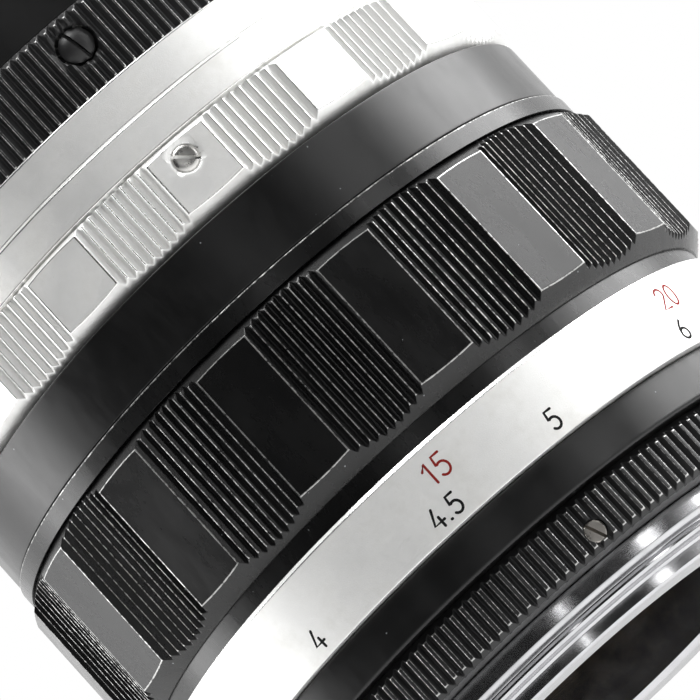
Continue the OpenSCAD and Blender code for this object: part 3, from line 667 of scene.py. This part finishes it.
def mount_ring():
    """The polished mount with its register and flange."""
    inside, bead = OPENING_R, 0.15
    turned_ring = turned("mount_ring_polished", [
        (inside + 0.5, 0, 0.08), (REGISTER_R - 0.2, 0, 0.05), (REGISTER_R, 0.2, 0.05),
        (REGISTER_R, Z_FLANGE - 0.2, 0.04), (REGISTER_R + 0.2, Z_FLANGE, 0.04),
        (FLANGE_R - 0.4, Z_FLANGE, 0.05), (FLANGE_R - bead, Z_FLANGE + 0.2, 0.05),
        (FLANGE_R - bead, Z_FLANGE + 0.4, 0.04), (FLANGE_R - 0.6, Z_FLANGE + 0.8, 0.08),
        (FLANGE_R, Z_FLANGE + 1.4, 0.3), (FLANGE_R, Z_ADAPTER - 0.1, 0.05), (FLANGE_R - 0.1, Z_ADAPTER),
        (SPIGOT_R, Z_ADAPTER), (SPIGOT_R, Z_SPIGOT_TOP), (inside, Z_SPIGOT_TOP), (inside, 0.5)])
    place(turned_ring, "mount", "polished_metal", "mount_ring")


def rear_barrel():
    """The black band and the sleeve that focusing slides on."""
    gap = 0.1
    place(turned("rear_barrel_band", [
        (OPENING_R, Z_SPIGOT_TOP + 0.02), (THREAD_R - 0.02, Z_SPIGOT_TOP + 0.02), (THREAD_R - 0.02, Z_BAND),
        (BAND_R, Z_BAND, 0.28, 0.0), (BAND_R, Z_SCALE - gap, 0.08, 0.2), (SLEEVE_R, Z_SCALE - gap),
        (SLEEVE_R, Z_SLEEVE_TOP), (SLEEVE_BORE_R, Z_SLEEVE_TOP), (SLEEVE_BORE_R, Z_FLOOR),
        (OPENING_R, Z_FLOOR)]), "mount", "satin_black", "rear_barrel")


def scale_radius(z):
    """Radius of the distance scale's tapered face at a height."""
    share = (z - Z_SCALE) / (Z_NECK - SCALE_BEVEL - Z_SCALE)
    return SCALE_REAR_R + (SCALE_R - SCALE_REAR_R) * share


def distance_scale():
    """The silver distance scale."""
    place(turned("distance_scale_face", [
        (SCALE_SEAT_R + 0.02, Z_SCALE), (SCALE_REAR_R, Z_SCALE, 0.1, 0.0),
        (SCALE_R, Z_NECK - SCALE_BEVEL, 0.06), (SCALE_R - SCALE_BEVEL / 2, Z_NECK, 0.06),
        (SCALE_SEAT_R + 0.02, Z_NECK)]), "focus", "satin_silver", "distance_scale_ring")


def head_barrel():
    """The black shell of the head."""
    place(turned("head_barrel_shell", [
        (CAVITY_R - 1.05, Z_SKIRT), (CAVITY_R - 0.05, Z_SKIRT), (CAVITY_R - 0.05, Z_FOCUS_TOP + 0.1),
        (HEAD_R, Z_FOCUS_TOP + 0.1, 0.1, 0.62), (HEAD_R, Z_HEAD_TOP, 0.15, 0.2),
        (BARREL_R + 0.02, Z_HEAD_TOP), (BARREL_R + 0.02, Z_FOCUS_TOP + 1.8),
        (26.82, Z_FOCUS_TOP + 1.8), (26.82, Z_FOCUS_TOP + 0.1), (CAVITY_R - 1.05, Z_FOCUS_TOP + 0.1)]),
        "head", "satin_black", "head_barrel")


def index_band():
    """The silver band that carries the preset's index."""
    place(turned("index_band_shell", [
        (BEARING_R + 0.02, Z_INDEX), (INDEX_R, Z_INDEX, 0.15), (INDEX_R, Z_INDEX_TOP, 0.18),
        (BEARING_R + 0.02, Z_INDEX_TOP)]), "head", "satin_silver", "index_band")


def front_ring():
    """The front tube with its filter thread, and the stepped bezel in it."""
    pitch, count, depth = 0.5, 8, 0.25
    thread = [(FILTER_R + depth * (k % 2), Z_TOP - 0.3 - k * pitch / 2) for k in range(2 * count)]
    place(turned("front_ring_shell", [
        (BARREL_R + 0.02, Z_FRONT), (FRONT_R, Z_FRONT, 0.15, 0.5), (FRONT_R, Z_TOP - 2.2),
        (FRONT_R - 0.15, Z_TOP - 2.05), (FRONT_R - 0.15, Z_TOP - 1.85), (FRONT_R, Z_TOP - 1.7),
        (FRONT_R, Z_TOP - 0.4, 0.1), (FRONT_R - 0.4, Z_TOP, 0.1), (FILTER_R + 0.3, Z_TOP), *thread,
        (BEZEL_R + 0.02, Z_BEZEL_TOP), (BEZEL_R + 0.02, Z_BARREL_TOP), (BARREL_R + 0.02, Z_BARREL_TOP)]),
        "head", "satin_black", "front_ring")
    place(turned("bezel_ring_steps", [
        (21.3, Z_BARREL_TOP), (BEZEL_R, Z_BARREL_TOP), (BEZEL_R, Z_BEZEL_TOP, 0.05),
        (24.0, Z_BEZEL_TOP, 0.05), (23.4, Z_BEZEL_TOP - 0.35), (23.4, Z_BEZEL_TOP - 0.5),
        (22.6, Z_BEZEL_TOP - 0.85), (22.6, Z_BEZEL_TOP - 1.0)]), "head", "matt_black", "bezel_ring")


# ---------------------------------------------------------------- engraved figures

def arc(x, y, rx, ry, start, end, steps=14):
    """Points of an elliptical arc, by its angles in degrees."""
    angles = [math.radians(start + (end - start) * k / steps) for k in range(steps + 1)]
    return [(x + rx * math.cos(t), y + ry * math.sin(t)) for t in angles]


# Single strokes in a box 0.6 wide and 1 tall
GLYPHS = {
    "0": [arc(0.3, 0.5, 0.27, 0.5, 90, 450, 28)],
    "1": [[(0.12, 0.74), (0.36, 1.0), (0.36, 0.0)]],
    "2": [arc(0.3, 0.72, 0.26, 0.28, 165, -28) + [(0.03, 0.0), (0.58, 0.0)]],
    "3": [arc(0.28, 0.75, 0.24, 0.25, 150, -80) + arc(0.28, 0.27, 0.29, 0.27, 85, -150)],
    "4": [[(0.36, 1.0), (0.02, 0.27), (0.60, 0.27)], [(0.42, 0.52), (0.42, 0.0)]],
    "5": [[(0.52, 1.0), (0.14, 1.0), (0.08, 0.56)] + arc(0.28, 0.31, 0.28, 0.31, 122, -140)],
    "6": [[(0.44, 1.0), (0.22, 0.78), (0.07, 0.52)] + arc(0.3, 0.29, 0.27, 0.29, 165, 540, 24)],
    "8": [arc(0.3, 0.76, 0.22, 0.24, -90, 270, 22), arc(0.3, 0.26, 0.28, 0.26, 90, 450, 24)],
    ".": [[(0.08, 0.02), (0.12, 0.02)]],
    "o": [arc(0.22, 0.4, 0.22, 0.22, 0, 360, 20), arc(0.66, 0.4, 0.22, 0.22, 0, 360, 20)],
    "|": [[(0.3, 0.0), (0.3, 1.0)]],
}
WIDTHS = {".": 0.2, "o": 0.88, "1": 0.5}


def stroke_solid(mesh, line, width, surface, proud=0.008, deep=0.06):
    """Adds a flat stroke with round ends along a line of (along, up) points in millimetres."""
    line = [Vector(p) for p in line]
    closed = (line[0] - line[-1]).length < 1e-6
    if closed:
        line = line[:-1]
    outline_left, outline_right = [], []
    count = len(line)
    for k, point in enumerate(line):
        back = line[k - 1] if k or closed else point
        on = line[(k + 1) % count] if k < count - 1 or closed else point
        run = (on - back).normalized()
        turn = Vector((-run.y, run.x)) * width / 2
        outline_left.append(point + turn)
        outline_right.append(point - turn)
    if closed:
        rims = [list(pair) for pair in zip(outline_left, outline_right)]
    else:
        def cap(point, away):
            side = Vector((-away.y, away.x)) * width / 2
            return [point + side * math.cos(t) + away * (width / 2) * math.sin(t)
                    for t in (math.pi / 5, math.pi / 2.5)]
        start = (line[0] - line[1]).normalized()
        end = (line[-1] - line[-2]).normalized()
        first = [[line[0] + start * width / 2 * s + Vector((-start.y, start.x)) * -w * width / 2,
                  line[0] + start * width / 2 * s + Vector((-start.y, start.x)) * w * width / 2]
                 for s, w in ((0.95, 0.3), (0.6, 0.8))]
        last = [[line[-1] + end * width / 2 * s + Vector((-end.y, end.x)) * w * width / 2,
                 line[-1] + end * width / 2 * s + Vector((-end.y, end.x)) * -w * width / 2]
                for s, w in ((0.6, 0.8), (0.95, 0.3))]
        rims = first + [list(pair) for pair in zip(outline_left, outline_right)] + last
    rings = []
    for left, right in rims:
        rings.append([mesh.verts.new(surface(p, lift)) for p, lift in
                      ((left, proud), (right, proud), (right, -deep), (left, -deep))])
    steps = len(rings) if closed else len(rings) - 1
    for k in range(steps):
        a, b = rings[k], rings[(k + 1) % len(rings)]
        for q in range(4):
            mesh.faces.new((a[q], a[(q + 1) % 4], b[(q + 1) % 4], b[q]))
    if not closed:
        mesh.faces.new(rings[0][::-1])
        mesh.faces.new(rings[-1])


def engraved(name, entries, height, stroke, surface_of, body, slot, finish):
    """Figures round a ring: entries are (text, azimuth of the middle, height of the foot)."""
    mesh = bmesh.new()
    for text, azimuth, foot in entries:
        spacing = 0.16
        length = sum(WIDTHS.get(c, 0.6) for c in text) + spacing * (len(text) - 1)
        x = -length / 2
        for character in text:
            for line in GLYPHS[character]:
                placed = [((x + px) * height, foot + py * height) for px, py in line]
                stroke_solid(mesh, placed, stroke, surface_of(azimuth))
            x += WIDTHS.get(character, 0.6) + spacing
    bmesh.ops.recalc_face_normals(mesh, faces=mesh.faces)
    out = bpy.data.meshes.new(name)
    mesh.to_mesh(out)
    mesh.free()
    return place(finished(name, out), body, slot, finish=finish)


def on_ring(radius_at):
    """Maps (along, up) points onto a ring whose radius depends on the height."""
    def surface_of(azimuth):
        def surface(point, lift):
            r = radius_at(point.y) + lift
            a = math.radians(azimuth) + point.x / r
            return Vector((r * math.cos(a), r * math.sin(a), point.y)) * MM
        return surface
    return surface_of


def distance_azimuth(metres):
    """Azimuth of a distance on the scale with the lens at rest, which is at infinity."""
    spread, near_end, far_end = 696.0, 0.746, -186.0
    return FACING - (spread / (metres - near_end) + far_end)


def figures():
    """Distances, stops and index marks."""
    foot, metres_at, feet_at = 0.3048, 14.25, 17.25
    surface_of = on_ring(scale_radius)
    far = distance_azimuth(math.inf)
    metres = [("3", 3), ("3.5", 3.5), ("4", 4), ("4.5", 4.5), ("5", 5), ("6", 6), ("8", 8), ("10", 10),
              ("15", 15), ("30", 30)]
    feet = [("10", 10), ("15", 15), ("20", 20), ("30", 30), ("50", 50), ("100", 100)]
    black = [(text, distance_azimuth(u), metres_at) for text, u in metres] + [("o", far, 14.7)]
    red = [(text, distance_azimuth(u * foot) - 0.4, feet_at) for text, u in feet]
    engraved("distance_figures_metres", black, 1.75, 0.24, surface_of, "focus", "gloss_black", BLACK_FILL)
    engraved("distance_figures_feet", red, 1.95, 0.22, surface_of, "focus", "gloss_black", RED_FILL)
    engraved("distance_index_mark", [("|", far, Z_BAND + 1.2)], 2.4, 0.22, on_ring(lambda z: BAND_R),
             "mount", "satin_silver", WHITE_FILL)
    stops = ["4", "5.6", "8", "11", "16", "22"]
    step, first = 6.4, FACING + 150
    marks = [(text, first + step * k, Z_PRESET_BAND + 0.95) for k, text in enumerate(stops)]
    engraved("preset_figures", marks, 1.5, 0.17, on_ring(lambda z: PRESET_BAND_R), "preset",
             "gloss_black", BLACK_FILL)
    engraved("preset_index_mark", [("|", first, Z_INDEX + 0.8)], 2.6, 0.22, on_ring(lambda z: INDEX_R),
             "head", "gloss_black", RED_FILL)


# ---------------------------------------------------------------- carried CAD nodes

def dress_cad_nodes():
    """Gives every CAD node that stays in view its record's finish."""
    for row in frame["record"]["subparts"]:
        node = frame["nodes"].get(row["node"])
        if node is not None:
            node.data.materials.clear()
            node.data.materials.append(FINISHES[row["material_slot"]])


# ---------------------------------------------------------------- stage, light and camera

def camera():
    """Looks along the lens from below its rear, with the axis running down to the right."""
    tilt, roll = math.radians(11.75), math.radians(47.38)
    distance, focal = 601.25, 360.0
    seen_at = Vector((8.26, -14.13, -distance))     # where the camera sees the point that it aims by
    aim = Vector((0, 0, 20.5))
    rear = Vector((math.cos(tilt) * math.cos(roll), -math.cos(tilt) * math.sin(roll), math.sin(tilt)))
    z_axis = -rear
    y_axis = -(Vector((0, 0, 1)) - rear * rear.z).normalized()
    x_axis = y_axis.cross(z_axis)
    lens_to_camera = Matrix((x_axis, y_axis, z_axis)).transposed()
    camera_to_lens = lens_to_camera.transposed()
    data = bpy.data.cameras.new("camera")
    data.lens = focal
    data.clip_start, data.clip_end = 0.01, 20
    view = bpy.data.objects.new("camera", data)
    bpy.context.scene.collection.objects.link(view)
    view.matrix_world = Matrix.Translation((aim - camera_to_lens @ seen_at) * MM) @ camera_to_lens.to_4x4()
    bpy.context.scene.camera = view
    return view


def area_light(name, towards, distance, size, power, colour=(1, 1, 1)):
    """A soft box in a direction from the lens, facing it."""
    data = bpy.data.lights.new(name, "AREA")
    data.shape, data.size, data.size_y = "RECTANGLE", size[0], size[1]
    data.energy, data.color = power, colour
    lamp = bpy.data.objects.new(name, data)
    bpy.context.scene.collection.objects.link(lamp)
    middle = Vector((0, 0, 0.035))
    direction = Vector(towards).normalized()
    lamp.location = middle + direction * distance
    lamp.rotation_euler = (-direction).to_track_quat("-Z", "Y").to_euler()
    return lamp


def studio():
    """A white room that is dark on the side that the camera looks from, with five soft lights."""
    bpy.context.scene.view_settings.view_transform = "Standard"
    dark_side = Vector((-0.06, -0.99, -0.08)).normalized()
    edge_low, edge_high, bright, dark = -0.08, 0.46, 1.4, 0.02
    world = bpy.data.worlds.new("studio")
    bpy.context.scene.world = world
    world.use_nodes = True
    nodes, links = world.node_tree.nodes, world.node_tree.links
    nodes.clear()
    output = nodes.new("ShaderNodeOutputWorld")
    coords = nodes.new("ShaderNodeTexCoord")
    shade = nodes.new("ShaderNodeVectorMath")
    shade.operation = "DOT_PRODUCT"
    links.new(coords.outputs["Generated"], shade.inputs[0])
    shade.inputs[1].default_value = dark_side
    ramp = nodes.new("ShaderNodeMapRange")
    ramp.interpolation_type = "SMOOTHSTEP"
    links.new(shade.outputs["Value"], ramp.inputs[0])
    for k, value in enumerate((edge_low, edge_high, bright, dark), start=1):
        ramp.inputs[k].default_value = value
    around = nodes.new("ShaderNodeBackground")
    around.inputs["Color"].default_value = (1, 1, 1, 1)
    links.new(ramp.outputs[0], around.inputs["Strength"])
    backdrop = nodes.new("ShaderNodeBackground")
    backdrop.inputs["Color"].default_value = (1, 1, 1, 1)
    backdrop.inputs["Strength"].default_value = 1.0
    path = nodes.new("ShaderNodeLightPath")
    mix = nodes.new("ShaderNodeMixShader")
    links.new(path.outputs["Is Camera Ray"], mix.inputs[0])
    links.new(around.outputs[0], mix.inputs[1])
    links.new(backdrop.outputs[0], mix.inputs[2])
    links.new(mix.outputs[0], output.inputs[0])
    area_light("key", (0.97, 0.12, 0.47), 0.45, (0.36, 0.34), 2.4)
    area_light("left", (-0.97, 0.05, 0.3), 0.6, (0.3, 0.6), 2.2)
    area_light("top", (0.1, -0.5, 0.87), 0.5, (0.3, 0.15), 1.2)
    area_light("glint_middle", (0.13, -0.99, 0.2), 0.9, (0.04, 0.3), 0.12)
    area_light("glint_side", (0.76, -0.64, 0.2), 0.8, (0.10, 0.3), 0.35)


def floor():
    """A plain pale floor, set low enough that the camera looks in above it."""
    mesh = bmesh.new()
    bmesh.ops.create_grid(mesh, x_segments=8, y_segments=8, size=3.0)
    out = bpy.data.meshes.new("floor")
    mesh.to_mesh(out)
    mesh.free()
    ground = bpy.data.objects.new("floor", out)
    ground.location.z = -0.16
    bpy.context.scene.collection.objects.link(ground)
    f = Finish("floor_paper", Roughness=0.8)
    dark, light = (0.70, 0.70, 0.70, 1), (0.74, 0.74, 0.74, 1)
    out.materials.append(f.set(Base_Color=f.mix(f.noise(0.02, 3.0), dark, light)))


dress_cad_nodes()
mount_ring()
adapter_ring()
rear_barrel()
distance_scale()
focus_ring()
head_barrel()
preset_ring()
index_band()
aperture_ring()
front_ring()
figures()
camera()
studio()
floor()
